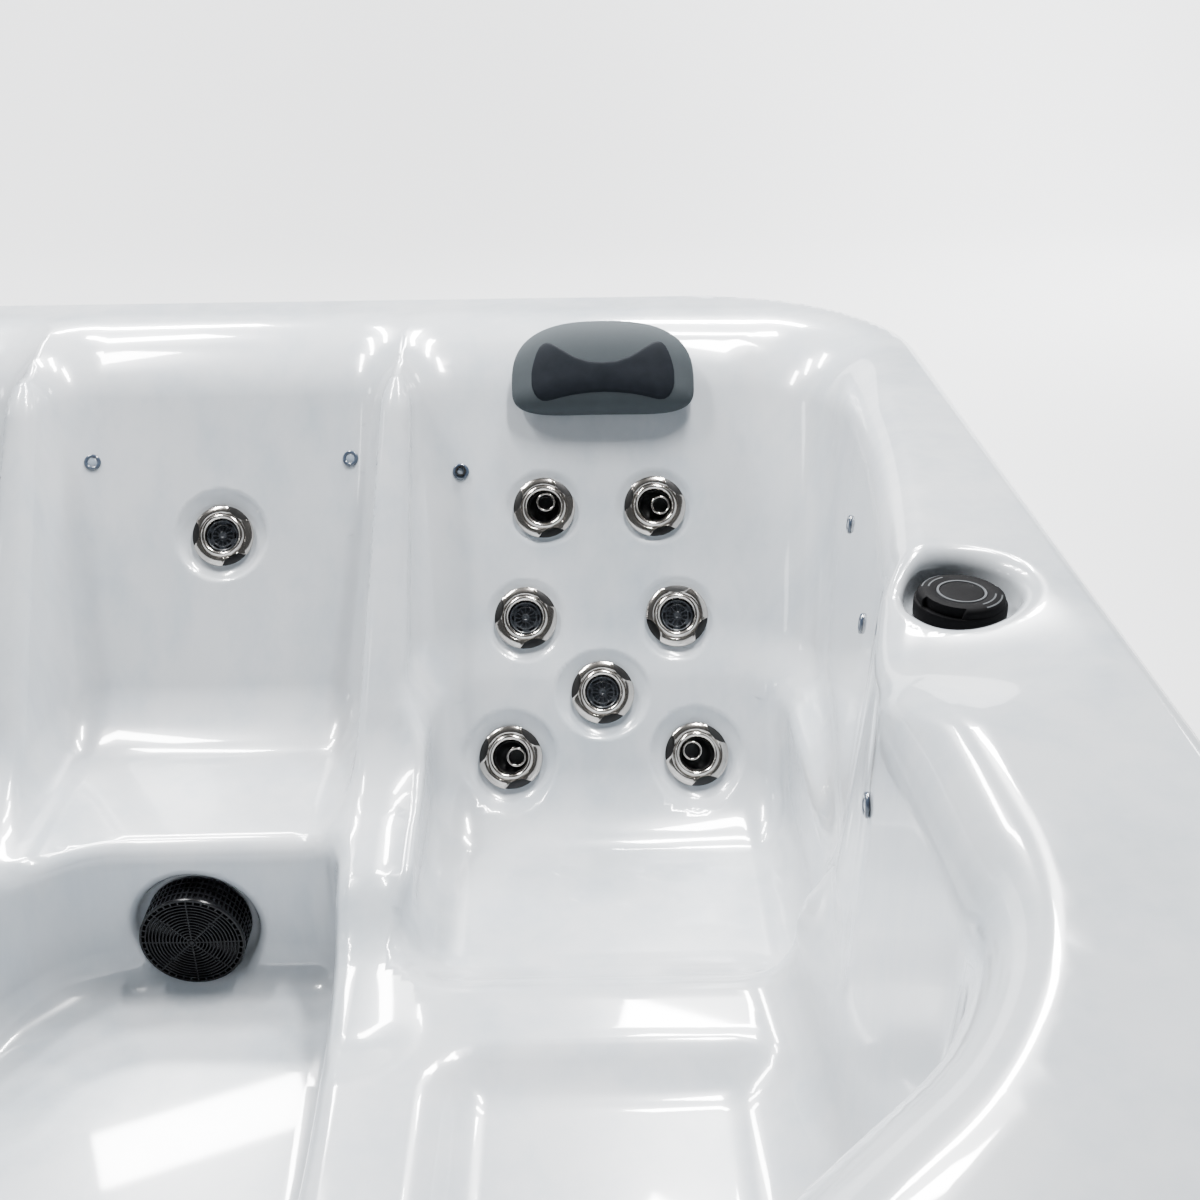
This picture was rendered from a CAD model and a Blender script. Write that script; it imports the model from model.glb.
# %% [markdown]
# A hot tub seen over its rim. The CAD part gives every piece its place, so the scene starts by loading it,
# and then dresses it piece by piece: the moulded acrylic shell first, then what is fitted into it.

# %% Load the frame
import math

import bmesh
import bpy
import numpy as np
from mathutils import Matrix, Vector


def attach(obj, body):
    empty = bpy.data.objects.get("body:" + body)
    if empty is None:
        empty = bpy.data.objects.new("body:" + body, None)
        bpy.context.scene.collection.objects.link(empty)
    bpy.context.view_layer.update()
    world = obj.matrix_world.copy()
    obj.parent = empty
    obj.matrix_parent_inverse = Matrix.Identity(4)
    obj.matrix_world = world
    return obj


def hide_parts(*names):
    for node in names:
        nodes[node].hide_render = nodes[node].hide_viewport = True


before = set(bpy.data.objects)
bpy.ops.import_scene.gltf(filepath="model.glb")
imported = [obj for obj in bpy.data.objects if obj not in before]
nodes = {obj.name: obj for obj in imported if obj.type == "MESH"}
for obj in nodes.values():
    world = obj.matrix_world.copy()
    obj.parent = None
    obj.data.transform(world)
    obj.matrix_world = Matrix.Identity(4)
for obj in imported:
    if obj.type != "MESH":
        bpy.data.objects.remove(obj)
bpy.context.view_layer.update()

# %% [markdown]
# The photograph looks down into one corner of the tub. The camera stands where the seven jets, the seat
# folds and the rim fall on their places in the picture; it was solved from those points.

# %% Camera
camera_place = Vector((0.5311775, -1.20726825, 1.47550559))
camera_pitch, camera_yaw, camera_roll = 0.47018, 0.0097023, -0.011736
look = Vector((math.sin(camera_yaw) * math.cos(camera_pitch), math.cos(camera_yaw) * math.cos(camera_pitch),
               -math.sin(camera_pitch)))
level = Vector((math.cos(camera_yaw), -math.sin(camera_yaw), 0))
lift = level.cross(look)
right = math.cos(camera_roll) * level + math.sin(camera_roll) * lift
up = -math.sin(camera_roll) * level + math.cos(camera_roll) * lift
camera = bpy.data.objects.new("camera", bpy.data.cameras.new("camera"))
bpy.context.scene.collection.objects.link(camera)
camera.matrix_world = Matrix(((right.x, up.x, -look.x, camera_place.x), (right.y, up.y, -look.y, camera_place.y),
                              (right.z, up.z, -look.z, camera_place.z), (0, 0, 0, 1)))
camera.data.sensor_width = 36.0
camera.data.lens = 42.0
bpy.context.scene.camera = camera
print("camera", [round(v, 3) for v in camera_place])

# %% [markdown]
# Every finished piece is a plain mesh that sits at the origin, rides on one body of the frame and takes the
# record's finish slot. These few helpers keep that the same for all of them.

# %% Helpers for pieces
def mesh_object(name, points, faces, smooth=True):
    mesh = bpy.data.meshes.new(name)
    mesh.from_pydata([tuple(p) for p in points], [], [tuple(f) for f in faces])
    mesh.update()
    mesh.polygons.foreach_set("use_smooth", [smooth] * len(mesh.polygons))
    piece = bpy.data.objects.new(name, mesh)
    bpy.context.scene.collection.objects.link(piece)
    return piece


def plain_mesh(piece):
    """The piece with its modifiers applied."""
    graph = bpy.context.evaluated_depsgraph_get()
    done = bpy.data.meshes.new_from_object(piece.evaluated_get(graph))
    piece.modifiers.clear()
    old, piece.data = piece.data, done
    bpy.data.meshes.remove(old)
    done.name = piece.name
    return piece


def dress(piece, body, material=None, stands_for=()):
    if material:
        piece.data.materials.clear()
        piece.data.materials.append(material)
    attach(piece, body)
    if stands_for:
        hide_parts(*stands_for)
    return piece


def tidy(piece, distance=1e-5, sharp=None):
    """Merges doubles, turns the faces outwards and marks edges sharper than an angle."""
    bm = bmesh.new()
    bm.from_mesh(piece.data)
    bmesh.ops.remove_doubles(bm, verts=bm.verts, dist=distance)
    bmesh.ops.dissolve_degenerate(bm, edges=bm.edges, dist=distance)
    bmesh.ops.recalc_face_normals(bm, faces=bm.faces)
    bm.to_mesh(piece.data)
    bm.free()
    if sharp:
        piece.data.set_sharp_from_angle(angle=math.radians(sharp))
    return piece


# %% [markdown]
# The shell is one acrylic sheet that was heated and sucked into a mould, so nothing on it is sharp: every
# seat is a pocket whose floor and walls flow together, and the seats flow into the rim. Hulls and bevels
# can't give that. A field can: each pocket is the space inside a few planes with a round fold between them,
# the pockets are joined softly, and the shell is where that space meets the air above the rim.

# %% Sizes of the tub, the same as the CAD part's
half_side, rim_height, rim_corner = 1.0, 0.9, 0.3
lip_bottom, sheet = 0.84, 0.008
corner_lean, centre_lean = math.radians(36.35), math.radians(31.8)
seat_across, corner_back = 0.55, (0.653, 0.6824)
centre_back, centre_jet_height = (0.505, 0.395), 0.643
foot_floor, centre_floor, corner_floor, side_floor, ledge, divider = 0.19, 0.395, 0.32, 0.345, 0.49, 0.372
riser_y, suction_place = 0.242, (0.012, 0.268, 0.266)
knob_place, knob_depth = (0.882, -0.038), 0.046
filter_place, filter_rim_r = (-0.778, -0.778), 0.0975
diagonal, weir_away, weir_r, weir_half_w = 0.7071, 0.171, 0.03, 0.055
dish_depth, dish_foot_r, dish_top_r, dish_bend, dish_lip = 0.013, 0.0545, 0.0668, 0.010, 0.0025
recess_depth, recess_foot_r, recess_top_r, recess_bend, recess_lip = 0.026, 0.074, 0.084, 0.014, 0.010
knob_foot_r, knob_top_r, knob_bend, knob_lip = 0.050, 0.0585, 0.012, 0.018
scoop_place, scoop_rise, scoop_r, scoop_lip = (0.815, -0.128), 0.222, 0.25, 0.03
jet_hole_r, cluster_hole_r, stem_hole_r, suction_hole_r, filter_hole_r = 0.032, 0.0155, 0.021, 0.036, 0.086
jet_rows = (0, -0.1607, -0.269, -0.3583)
jet_across = ((-0.08, 0), (0.08, 0), (-0.108, 1), (0.108, 1), (0, 2), (-0.1305, 3), (0.1305, 3))


def back_frame(place, lean, across, along):
    """A point on a seat back, with the directions across it, up its slope and out of it."""
    out = Vector((0, -math.cos(lean), math.sin(lean)))
    slope = Vector((0, math.sin(lean), math.cos(lean)))
    return Vector((across, place[0], place[1])) + slope * along, Vector((1, 0, 0)), slope, out


jets = [back_frame(corner_back, corner_lean, seat_across + x, jet_rows[row]) for x, row in jet_across]
jets.append(back_frame(centre_back, centre_lean, 0, (centre_jet_height - centre_back[1]) / math.cos(centre_lean)))
cluster = [back_frame(corner_back, corner_lean, -seat_across - x, jet_rows[row]) for x, row in jet_across]
print("jets", [[round(v, 3) for v in j[0]] for j in jets])


# %% The field of one pocket
def fold(parts, radius):
    """The space inside all the parts, with a round fold of that radius where two of them meet."""
    parts = np.broadcast_arrays(*parts)
    deepest = np.maximum.reduce(parts)
    beyond = sum(np.maximum(part + radius, 0) ** 2 for part in parts)
    return np.minimum(-radius, deepest) + np.sqrt(beyond)


def join(a, b, radius):
    """The space inside either part, with a round lip of that radius between them."""
    reach = np.maximum(radius - a, 0) ** 2 + np.maximum(radius - b, 0) ** 2
    return np.maximum(radius, np.minimum(a, b)) - np.sqrt(reach)


def wall(x, y, z, point, normal):
    """Distance in front of a plane; the normal points out of the pocket."""
    length = math.sqrt(sum(n * n for n in normal))
    return sum(n * (v - p) for n, v, p in zip(normal, (x, y, z), point)) / length


def leaning_back(y, z, place, lean):
    return (y - place[0]) * math.cos(lean) - (z - place[1]) * math.sin(lean)


# %% The seats as pockets
def seat_space(x, y, z):
    """Negative inside the tub, positive in its walls."""
    side = np.abs(x)

    def slab(*point_and_normal):
        return wall(side, y, z, *point_and_normal)

    centre_seat = fold([centre_floor + 0.02 * (y - 0.4) - z, leaning_back(y, z, centre_back, centre_lean),
                        slab((0.22, 0, 0.455), (1, 0, -0.06)), 0.07 - y], 0.06)
    over_ridge = fold([side - 0.32, slab((0, 0.49, 0.5964), (0, 0.3256, -0.31)),
                       slab((0, 0.37, 0.44), (0, 0.1564, -0.12)),
                       slab((0, 0.08, 0.4), (0, 0.04, -0.29)), -0.1 - y], 0.05)
    foot = fold([foot_floor - z, y - riser_y + 0.01 * (0.3 - z), wall(x, y, z, (0.24, 0.1, 0.24), (1, 0, -0.01)),
                 wall(x, y, z, (0.2393, 0.0682, 0.24), (0.9864, 0.1644, -0.01)),
                 wall(x, y, z, (-0.1475, 0.2251, 0.24), (-0.75, 0.6617, -0.01)),
                 wall(x, y, z, (-0.2495, 0.097, 0.24), (-0.9903, 0.139, -0.01)), -0.53 - y], 0.05)
    basin = fold([divider - z, slab((0.784, 0, 0.442), (1, 0, -0.0149)), y - 0.12,
                  slab((0.776, -0.06, 0.442), (0.985, 0.19, 0.02)),
                  slab((0, -0.765, 0.442), (0, -1, -0.0557)),
                  slab((0.5257, -0.748, 0.442), (0.683, -0.73, -0.066))], 0.07)
    bucket = fold([corner_floor - z, leaning_back(y, z, corner_back, corner_lean), 0.315 - side,
                   slab((0.8, 0, 0.38), (1, 0, -0.02)),
                   slab((0, 0.04, 0.38), (0, -1, -0.115))], 0.06)
    side_wall = fold([leaning_back(y, z, corner_back, corner_lean),
                      slab((0.858, 0.2, 0.54), (1, 0, -0.068)),
                      slab((0.858, 0.2, 0.54), (0.9586, -0.2847, -0.066))], 0.1)
    shoulders = fold([ledge - z, side_wall, 0.285 - side, slab((0.335, 0.08, 0.5), (-0.535, -0.845, 0))], 0.05)
    side_seat = fold([side_floor - z, side - 0.732, 0.36 - side, y + 0.09, -0.52 - y], 0.06)
    space = join(bucket, shoulders, 0.03)
    space = join(space, centre_seat, 0.02)
    space = join(space, over_ridge, 0.022)
    space = join(space, join(basin, side_seat, 0.025), 0.05)
    return join(space, foot, 0.03)


def round_dish(x, y, z, centre, out, depth, foot_r, top_r, radius, over=0.02):
    """A round dish sunk in a face: centre lies on the face, out points away from it."""
    dx, dy, dz = x - centre[0], y - centre[1], z - centre[2]
    height = dx * out[0] + dy * out[1] + dz * out[2]
    from_axis = np.sqrt(np.maximum(dx * dx + dy * dy + dz * dz - height * height, 0))
    slope = (top_r - foot_r) / depth
    cone = (from_axis - foot_r - (height + depth) * slope) / math.sqrt(1 + slope * slope)
    return fold([cone, -(height + depth), height - over], radius)


def outline(x, y):
    """Distance outside the rim's edge, seen from above."""
    dx, dy = np.abs(x) - (half_side - rim_corner), np.abs(y) - (half_side - rim_corner)
    return np.hypot(np.maximum(dx, 0), np.maximum(dy, 0)) + np.minimum(np.maximum(dx, dy), 0) - rim_corner


def ease(v, low, high):
    t = np.clip((v - low) / (high - low), 0, 1)
    return t * t * (3 - 2 * t)


def shell_field(x, y, z):
    """Negative in the solid below the acrylic's face, positive in the air above it."""
    blank = fold([z - rim_height, outline(x, y)], 0.02)
    rolled = 0.05 + 0.035 * ease(y, 0.45, 0.75) + 0.025 * ease(-y, 0.1, 0.3) * ease(x, 0, 0.5)
    solid = fold([blank, -seat_space(x, y, z)], rolled)
    for place, _, _, out in jets:
        dish = round_dish(x, y, z, place, out, dish_depth, dish_foot_r, dish_top_r, dish_bend)
        solid = fold([solid, -dish], dish_lip)
    recess = round_dish(x, y, z, (suction_place[0], riser_y, suction_place[2]), (0, -1, 0), recess_depth,
                        recess_foot_r, recess_top_r, recess_bend, over=0.06)
    solid = fold([solid, -fold([recess, foot_floor + 0.006 - z], 0.012)], recess_lip)
    for s in (-1, 1):
        scoop = np.sqrt((x - s * scoop_place[0]) ** 2 + (y - scoop_place[1]) ** 2
                        + (z - rim_height - scoop_rise) ** 2) - scoop_r
        solid = fold([solid, -scoop], scoop_lip)
        dish = round_dish(x, y, z, (s * knob_place[0], knob_place[1], rim_height), (0, 0, 1), knob_depth,
                          knob_foot_r, knob_top_r, knob_bend, over=0.03)
        solid = fold([solid, -dish], knob_lip)
    return solid


# %% [markdown]
# The face of the field is meshed with a surface net: a coarse grid of cells, one point in every cell that the
# face passes through, and the points then pulled exactly on to the face. The field's slope gives the true
# normals, which polished acrylic needs: a reflection shows every flat facet.

# %% A net over the field
def surface_net(field, low, high, step):
    """Points and four-sided faces of the place where the field changes sign."""
    counts = [int(round((b - a) / step)) + 1 for a, b in zip(low, high)]
    axes = [a + step * np.arange(n) for a, n in zip(low, counts)]
    grid = field(axes[0][:, None, None], axes[1][None, :, None], axes[2][None, None, :])
    cells = [n - 1 for n in counts]

    def both_ends(axis, cut):
        """The field at the two ends of each grid edge along an axis, and which of the edges it crosses."""
        first, second = list(cut), list(cut)
        first[axis], second[axis] = slice(0, cells[axis]), slice(1, cells[axis] + 1)
        a, b = grid[tuple(first)], grid[tuple(second)]
        return a, b, (a < 0) != (b < 0)

    total, hits = np.zeros(cells + [3]), np.zeros(cells)
    for axis in range(3):
        u, v = [a for a in range(3) if a != axis]
        for i, j in ((0, 0), (0, 1), (1, 0), (1, 1)):
            cut = [slice(None)] * 3
            cut[u], cut[v] = slice(i, i + cells[u]), slice(j, j + cells[v])
            a, b, crossed = both_ends(axis, cut)
            hits += crossed
            total[..., axis] += np.where(crossed, a / np.where(a == b, 1, a - b), 0)
            total[..., u] += crossed * i
            total[..., v] += crossed * j
    used = hits > 0
    number = np.full(cells, -1)
    number[used] = np.arange(used.sum())
    points = (np.argwhere(used) + total[used] / hits[used][:, None]) * step + np.array(low)
    unit, faces = np.eye(3, dtype=int), []
    for axis, u, v in ((0, 1, 2), (1, 2, 0), (2, 0, 1)):
        a, _, crossed = both_ends(axis, [slice(1, n - 1) for n in counts])
        spots = np.argwhere(crossed) + 1 - unit[axis]
        quads = np.stack([number[tuple((spots - away).T)] for away in (0, unit[u], unit[u] + unit[v], unit[v])], 1)
        flip = a[crossed] >= 0
        quads[flip] = quads[flip][:, ::-1]
        faces.append(quads)
    return points, np.concatenate(faces)


def slope_of(points, eps=4e-4):
    x, y, z = points.T
    return np.stack([shell_field(x + eps, y, z) - shell_field(x - eps, y, z),
                     shell_field(x, y + eps, z) - shell_field(x, y - eps, z),
                     shell_field(x, y, z + eps) - shell_field(x, y, z - eps)], 1) / (2 * eps)


def normals_of(points):
    slope = slope_of(points)
    return slope / np.linalg.norm(slope, axis=1)[:, None]


def pull(points, steps=4):
    """Moves points on to the shell's face."""
    for _ in range(steps):
        slope, off = slope_of(points), shell_field(*points.T)
        points = points - slope * (np.clip(off, -0.01, 0.01) / np.maximum((slope ** 2).sum(1), 0.05))[:, None]
    return points


# %% Net the shell, finer where something is fitted
net_step, spread_limit = 0.02, math.radians(22)
points, faces = surface_net(shell_field, (-1.01, -1.01, 0.17), (1.01, 1.01, 0.93), net_step)
points = pull(points)
middle = points[faces].mean(1)
below_lip = (middle[:, 2] < lip_bottom) & (outline(middle[:, 0], middle[:, 1]) > -0.03)
bm = bmesh.new()
bm_points = [bm.verts.new(p) for p in points]
for quad in faces[~below_lip]:
    bm.faces.new([bm_points[i] for i in quad])


def drop_loose_points():
    bmesh.ops.delete(bm, geom=[v for v in bm.verts if not v.link_faces], context="VERTS")
    bm.verts.index_update()


drop_loose_points()
print("net:", len(bm.verts), "points", len(bm.faces), "faces")


def bm_array():
    return np.array([v.co for v in bm.verts])


def face_centres():
    return np.array([f.calc_center_median() for f in bm.faces])


def near(points, place, reach):
    return ((points - np.array(place)) ** 2).sum(1) < reach * reach


def refine(chosen):
    """Splits the chosen faces in four and pulls the new points on to the shell."""
    edges = {e for f, c in zip(bm.faces, chosen) if c for e in f.edges}
    bmesh.ops.subdivide_edges(bm, edges=list(edges), cuts=1, use_grid_fill=True)
    for v, p in zip(bm.verts, pull(bm_array(), 3)):
        v.co = p


weir_place = Vector((filter_place[0] + weir_away * diagonal, filter_place[1] + weir_away * diagonal, 0.75))
fine = [(place - out * 0.007, 0.088, 0.012) for place, _, _, out in jets]
fine += [(place, 0.032, 0.006) for place, _, _, _ in cluster]
fine += [((s * knob_place[0], knob_place[1], 0.885), 0.115, 0.01) for s in (-1, 1)]
fine += [((suction_place[0], 0.25, suction_place[2]), 0.105, 0.01), (weir_place, 0.085, 0)]
for level in (0, 1):
    centres = face_centres()
    ring = np.hypot(centres[:, 0] - filter_place[0], centres[:, 1] - filter_place[1])
    chosen = (np.abs(ring - filter_rim_r) < 0.02 - 0.008 * level) & (centres[:, 2] > 0.85)
    for place, reach, less in fine:
        chosen |= near(centres, place, reach - less * level)
    if level == 0:
        chosen |= ((np.abs(np.abs(centres[:, 0]) - 0.57) < 0.22) & (np.abs(centres[:, 1] - 0.39) < 0.13)
                   & (centres[:, 2] > 0.3) & (centres[:, 2] < 0.46))
        normals = normals_of(bm_array())
        spread = np.array([min(normals[f.verts[0].index] @ normals[f.verts[2].index],
                               normals[f.verts[1].index] @ normals[f.verts[-1].index]) for f in bm.faces])
        chosen |= spread < math.cos(spread_limit)
    refine(chosen)
    print("refined", int(chosen.sum()), "faces; now", len(bm.faces))


# %% [markdown]
# Holes for the jets, the knobs' stems, the filter and its weir: the faces over a hole go, and the points
# round it are pulled in to its exact edge. The real shell is drilled and routed in the same places.

# %% Holes through the shell
def drill(place, axis, radius, depth=0.02, half_width=None):
    """Opens a round hole, or a slot where a half width is given, and pulls its edge to the true shape."""
    place, axis = np.array(place), np.array(axis)
    side = np.cross((0, 0, 1), axis) if half_width else np.array((1.0, 0, 0))
    side = side / np.linalg.norm(side)

    def reach(p):
        away = p - place
        height = away @ axis
        across = away - np.outer(height, axis)
        if half_width is None:
            return np.linalg.norm(across, axis=1), across, height
        along = across @ side
        rest = np.sign(along) * np.maximum(np.abs(along) - (half_width - radius), 0)
        short = np.outer(rest, side) + (across - np.outer(along, side))
        return np.linalg.norm(short, axis=1), short, height

    centres = face_centres()
    far, _, height = reach(centres)
    gone = [f for f, d, h in zip(bm.faces, far, height) if d < radius * 1.02 and abs(h) < depth]
    edge = {v for f in gone for v in f.verts}
    bmesh.ops.delete(bm, geom=gone, context="FACES")
    edge = [v for v in edge if v.is_valid and v.link_faces]
    far, short, _ = reach(np.array([v.co for v in edge]))
    for v, d, s in zip(edge, far, short):
        v.co = Vector(np.array(v.co) + s * (radius / max(d, 1e-6) - 1))
    return len(gone)


holes = [(place - out * dish_depth, out, jet_hole_r) for place, _, _, out in jets]
holes += [(place, out, cluster_hole_r) for place, _, _, out in cluster]
holes += [((s * knob_place[0], knob_place[1], rim_height - knob_depth), (0, 0, 1), stem_hole_r) for s in (-1, 1)]
holes += [((suction_place[0], riser_y + recess_depth, suction_place[2]), (0, 1, 0), suction_hole_r),
          ((*filter_place, rim_height), (0, 0, 1), filter_hole_r),
          (weir_place, (diagonal, diagonal, 0), weir_r, 0.06, weir_half_w)]
print("faces opened", [drill(*hole) for hole in holes])

# %% [markdown]
# The sheet is 8 mm thick, so the face is doubled 8 mm further in and the two are closed along every edge.
# The normals come from the field itself, which keeps long reflections calm over the soft folds.

# %% Thickness and true normals
drop_loose_points()
front = bm_array()
sheet_normals = normals_of(front)
front_faces = [[v.index for v in f.verts] for f in bm.faces]
rim_edges = [(e.link_loops[0].vert.index, e.link_loops[0].link_loop_next.vert.index)
             for e in bm.edges if len(e.link_faces) == 1]
bm.free()
count = len(front)
back = front - sheet_normals * sheet
all_faces = front_faces + [[i + count for i in reversed(f)] for f in front_faces]
all_faces += [[b, a, a + count, b + count] for a, b in rim_edges]
shell = mesh_object("acrylic_sheet", np.concatenate([front, back]), all_faces)
loop_normals = []
for face in shell.data.polygons:
    for i in face.vertices:
        if face.index < len(front_faces):
            loop_normals.append(tuple(sheet_normals[i]))
        elif face.index < 2 * len(front_faces):
            loop_normals.append(tuple(-sheet_normals[i - count]))
        else:
            loop_normals.append(tuple(face.normal))
shell.data.normals_split_custom_set(loop_normals)
print("shell:", len(all_faces), "faces, low and high", front.min(0).round(4), front.max(0).round(4))

# %% [markdown]
# The sheet in the photograph is pearl white with faint blue-grey clouds drawn out down the walls. The clouds
# are two noises, one stretched; a clear coat gives the wet-looking reflections.

# %% Material helpers
def new_material(name):
    material = bpy.data.materials.new(name)
    material.use_nodes = True
    nodes_of = material.node_tree.nodes
    return material, nodes_of, material.node_tree.links, nodes_of["Principled BSDF"]


def noise(tree_nodes, links, scale, detail=4.0, stretch=(1, 1, 1), rough=0.55):
    place = tree_nodes.new("ShaderNodeTexCoord")
    mapping = tree_nodes.new("ShaderNodeMapping")
    mapping.inputs["Scale"].default_value = stretch
    links.new(place.outputs["Object"], mapping.inputs["Vector"])
    texture = tree_nodes.new("ShaderNodeTexNoise")
    texture.inputs["Scale"].default_value = scale
    texture.inputs["Detail"].default_value = detail
    texture.inputs["Roughness"].default_value = rough
    links.new(mapping.outputs["Vector"], texture.inputs["Vector"])
    return texture.outputs["Fac"]


def ramp(tree_nodes, links, value, stops):
    node = tree_nodes.new("ShaderNodeValToRGB")
    while len(node.color_ramp.elements) < len(stops):
        node.color_ramp.elements.new(0.5)
    for element, (place, colour) in zip(node.color_ramp.elements, stops):
        element.position = place
        element.color = (*colour, 1) if len(colour) == 3 else colour
    links.new(value, node.inputs["Fac"])
    return node.outputs["Color"]


def bump(tree_nodes, links, value, strength, distance, shader):
    node = tree_nodes.new("ShaderNodeBump")
    node.inputs["Strength"].default_value = strength
    node.inputs["Distance"].default_value = distance
    links.new(value, node.inputs["Height"])
    links.new(node.outputs["Normal"], shader.inputs["Normal"])


def plain(name, low, high, rough=0.5, scale=40.0, metal=0.0, coat=0.0, grain=None, stretch=(1, 1, 1),
          spread=0.06, shine=0.5):
    """A finish whose colour drifts from low to high and whose gloss is slightly uneven; the grain is a scale,
    a strength and a depth."""
    material, tree_nodes, links, shader = new_material(name)
    cloud = noise(tree_nodes, links, scale, 5.0, stretch)
    links.new(ramp(tree_nodes, links, cloud, [(0.3, low), (0.7, high)]), shader.inputs["Base Color"])
    worn = ramp(tree_nodes, links, cloud, [(0.25, (rough - spread,) * 3), (0.75, (rough + spread,) * 3)])
    links.new(worn, shader.inputs["Roughness"])
    shader.inputs["Metallic"].default_value = metal
    shader.inputs["Coat Weight"].default_value = coat
    shader.inputs["Specular IOR Level"].default_value = shine
    if grain:
        bump(tree_nodes, links, noise(tree_nodes, links, grain[0], 3.0, stretch), grain[1], grain[2], shader)
    return material


# %% Pearl acrylic
acrylic, n, links, shader = new_material("pearl_acrylic")
clouds = noise(n, links, 2.6, 6.0, (1, 1, 0.4), 0.6)
veins = noise(n, links, 13.0, 5.0, (1, 1, 0.3), 0.65)
cloud_colour = ramp(n, links, clouds, [(0.30, (0.35, 0.385, 0.415)), (0.47, (0.475, 0.50, 0.525)),
                                       (0.66, (0.545, 0.562, 0.582))])
vein_colour = ramp(n, links, veins, [(0.30, (0.84, 0.875, 0.91)), (0.56, (1, 1, 1))])
mix = n.new("ShaderNodeMix")
mix.data_type, mix.blend_type = "RGBA", "MULTIPLY"
mix.inputs["Factor"].default_value = 0.9
links.new(cloud_colour, mix.inputs["A"])
links.new(vein_colour, mix.inputs["B"])
links.new(mix.outputs["Result"], shader.inputs["Base Color"])
shader.inputs["Roughness"].default_value = 0.22
shader.inputs["Coat Weight"].default_value = 1.0
shader.inputs["Coat Roughness"].default_value = 0.04
shader.inputs["Subsurface Weight"].default_value = 0.06
shader.inputs["Subsurface Radius"].default_value = (0.01, 0.01, 0.01)
dress(shell, "tub", acrylic, ["acrylic_shell"])
print("shell dressed")

# %% [markdown]
# A jet is a black moulded carrier with a polished nickel face clipped over it. The face has three bites out
# of its edge, for the fingers that turn it, and a swelling ring round the bowl. Both come from one rule:
# a height for every point of a disc, so the bites' creases can run into the ring.

# %% Plastics and metals
nickel = plain("warm_nickel", (0.50, 0.47, 0.435), (0.58, 0.545, 0.505), 0.16, 30.0, metal=1.0, spread=0.03)
black = plain("black_plastic", (0.004, 0.004, 0.004), (0.008, 0.008, 0.008), 0.4, 60.0, grain=(900, 0.08, 0.0004),
              shine=0.35)
smoke = plain("smoke_plastic", (0.012, 0.014, 0.017), (0.026, 0.029, 0.034), 0.28, 120.0, shine=0.45)


def placed(points, origin, across, slope, out):
    """Turns points in millimetres in a face's own frame into metres in the tub's frame."""
    points = np.array(points, float) * 0.001
    return (np.array(origin) + points[:, :1] * np.array(across) + points[:, 1:2] * np.array(slope)
            + points[:, 2:] * np.array(out))


def angles(sides):
    return 2 * np.pi * np.arange(sides) / sides


def off_spoke(a, count, turn=0):
    """The angle from the nearest of count spokes, the first of which is turned by some degrees."""
    return (a - math.radians(turn) + math.pi / count) % (2 * math.pi / count) - math.pi / count


def row_of(r, a, z):
    """A row of points round the axis at the angles a."""
    return np.stack([r * np.cos(a), r * np.sin(a), z + 0 * a], 1)


def turned(line, sides):
    return [row_of(r, angles(sides), z) for r, z in line]


def rings_to_mesh(rows, closed_ring=False):
    """Points and faces of rows of equally many points; the rows close on the first where asked."""
    points = np.concatenate(rows)
    n, faces = len(rows[0]), []
    last = len(rows) if closed_ring else len(rows) - 1
    for r in range(last):
        a, b = r * n, ((r + 1) % len(rows)) * n
        faces += [(a + k, a + (k + 1) % n, b + (k + 1) % n, b + k) for k in range(n)]
    return points, faces


def lathe(line, sides, closed=False):
    return rings_to_mesh(turned(line, sides), closed)


def grid_faces(rows, columns):
    return [(r * columns + k, r * columns + k + 1, (r + 1) * columns + k + 1, (r + 1) * columns + k)
            for r in range(rows - 1) for k in range(columns - 1)]


def joined(*parts):
    points, faces, start = [], [], 0
    for p, f in parts:
        points.append(np.array(p, float))
        faces += [tuple(i + start for i in face) for face in f]
        start += len(p)
    return np.concatenate(points), faces


def shifted(part, x, y):
    points, faces = part
    return np.array(points, float) + (x, y, 0), faces


def fitted(name, part, where, sharp, body, material, stands_for=()):
    """Makes a piece of a part that is given in millimetres in a face's own frame, and dresses it."""
    piece = tidy(mesh_object(name, placed(part[0], *where), part[1]), sharp=sharp)
    return dress(piece, body, material, stands_for)


# %% Nickel jet face
bite_at, bite_r, face_r = 60.0, 27.3, 45.0
face_line = ((23.6, 8.0), (24.0, 10.8), (25.0, 12.6), (26.5, 13.7), (28.0, 14.1), (29.5, 13.5), (30.7, 12.0),
             (31.5, 10.3), (32.2, 9.7), (33.0, 10.5), (34.2, 11.1), (37.0, 10.9), (41.0, 9.6), (43.6, 8.2),
             (44.6, 6.9), (45.0, 5.4))


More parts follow.
